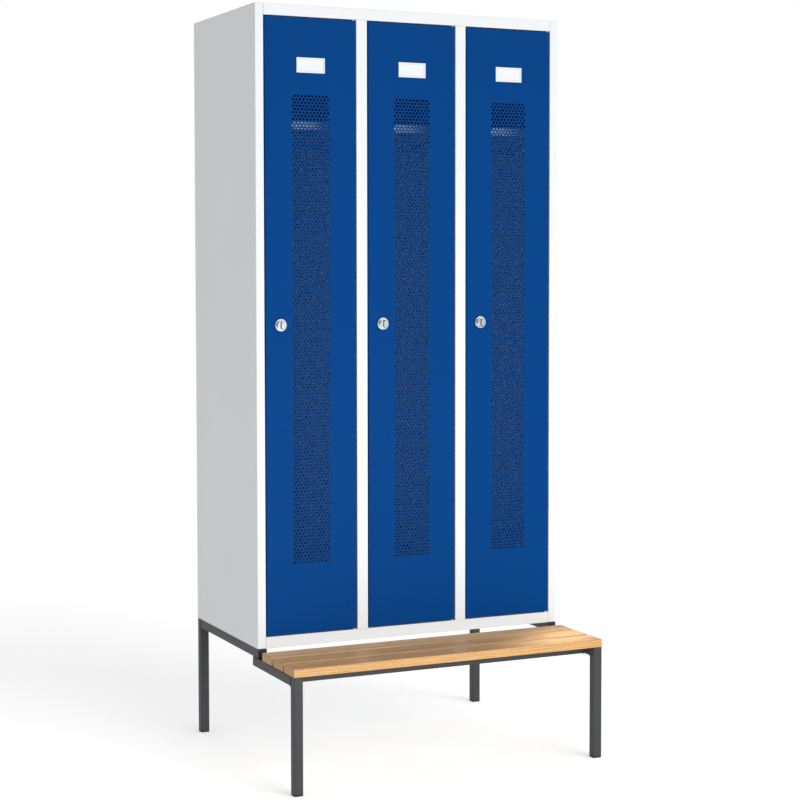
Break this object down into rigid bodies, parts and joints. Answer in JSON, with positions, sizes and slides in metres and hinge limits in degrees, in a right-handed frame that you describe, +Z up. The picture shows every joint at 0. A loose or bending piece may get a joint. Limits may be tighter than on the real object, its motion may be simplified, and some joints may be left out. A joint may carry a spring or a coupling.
{
  "type": "clothes locker with bench",
  "caption": "Steel clothes locker with full-height ventilated doors, standing on a tube frame that carries a slatted wooden bench in front.",
  "frame": {"origin": "on the floor under the middle of the overall footprint, bench included", "axes": "+Z up; the doors and the bench face -Y; +X is to the right of someone who faces the doors"},
  "size_m": [0.9, 0.762, 2.03],
  "materials": {
    "carcass_paint": "light grey powder coat, fine satin texture",
    "door_paint": "gentian blue powder coat, satin",
    "frame_paint": "anthracite powder coat, satin",
    "zinc_plate": "bright zinc plating",
    "lock_chrome": "satin chrome on die-cast zinc",
    "beech": "clear lacquered beech",
    "label_plastic": "moulded white plastic",
    "label_card": "blank white card",
    "foot_plastic": "black moulded plastic"
  },
  "bodies": {
    "root": {"side_panel_left": "carcass_paint", "side_panel_right": "carcass_paint", "partition_1": "carcass_paint", "partition_2": "carcass_paint", "top_panel": "carcass_paint", "bottom_panel": "carcass_paint", "back_panel": "carcass_paint", "hat_shelf_1": "carcass_paint", "hat_shelf_2": "carcass_paint", "hat_shelf_3": "carcass_paint", "coat_rail_1": "zinc_plate", "coat_rail_2": "zinc_plate", "coat_rail_3": "zinc_plate", "coat_hook_1": "zinc_plate", "coat_hook_2": "zinc_plate", "coat_hook_3": "zinc_plate", "hinge_pin_top_1": "zinc_plate", "hinge_pin_top_2": "zinc_plate", "hinge_pin_top_3": "zinc_plate", "hinge_pin_bottom_1": "zinc_plate", "hinge_pin_bottom_2": "zinc_plate", "hinge_pin_bottom_3": "zinc_plate", "rear_leg_left": "frame_paint", "rear_leg_right": "frame_paint", "front_leg_left": "frame_paint", "front_leg_right": "frame_paint", "locker_rail_left": "frame_paint", "locker_rail_right": "frame_paint", "seat_rail_left": "frame_paint", "seat_rail_right": "frame_paint", "rear_cross_tube": "frame_paint", "seat_front_rail": "frame_paint", "foot_rear_left": "foot_plastic", "foot_rear_right": "foot_plastic", "foot_front_left": "foot_plastic", "foot_front_right": "foot_plastic", "seat_slat_1": "beech", "seat_slat_2": "beech", "seat_slat_3": "beech"},
    "door_1": {"door_skin_1": "door_paint", "door_stiffener_1": "door_paint", "label_holder_1": "label_plastic", "label_card_1": "label_card", "lock_housing_1": "lock_chrome"},
    "door_2": {"door_skin_2": "door_paint", "door_stiffener_2": "door_paint", "label_holder_2": "label_plastic", "label_card_2": "label_card", "lock_housing_2": "lock_chrome"},
    "door_3": {"door_skin_3": "door_paint", "door_stiffener_3": "door_paint", "label_holder_3": "label_plastic", "label_card_3": "label_card", "lock_housing_3": "lock_chrome"},
    "lock_1": {"lock_knob_1": "lock_chrome", "lock_cam_1": "zinc_plate"},
    "lock_2": {"lock_knob_2": "lock_chrome", "lock_cam_2": "zinc_plate"},
    "lock_3": {"lock_knob_3": "lock_chrome", "lock_cam_3": "zinc_plate"}
  },
  "joints": [
    {"name": "door_1_swing", "type": "hinge", "parent": "root", "child": "door_1", "pos_m": [-0.171, -0.114, 0.363], "axis": [0, 0, 1], "range_deg": [0, 105]},
    {"name": "door_2_swing", "type": "hinge", "parent": "root", "child": "door_2", "pos_m": [0.124, -0.114, 0.363], "axis": [0, 0, 1], "range_deg": [0, 105]},
    {"name": "door_3_swing", "type": "hinge", "parent": "root", "child": "door_3", "pos_m": [0.419, -0.114, 0.363], "axis": [0, 0, 1], "range_deg": [0, 105]},
    {"name": "lock_1_turn", "type": "hinge", "parent": "door_1", "child": "lock_1", "pos_m": [-0.382, -0.119, 1.188], "axis": [0, 1, 0], "range_deg": [0, 90]},
    {"name": "lock_2_turn", "type": "hinge", "parent": "door_2", "child": "lock_2", "pos_m": [-0.087, -0.119, 1.188], "axis": [0, 1, 0], "range_deg": [0, 90]},
    {"name": "lock_3_turn", "type": "hinge", "parent": "door_3", "child": "lock_3", "pos_m": [0.208, -0.119, 1.188], "axis": [0, 1, 0], "range_deg": [0, 90]}
  ]
}
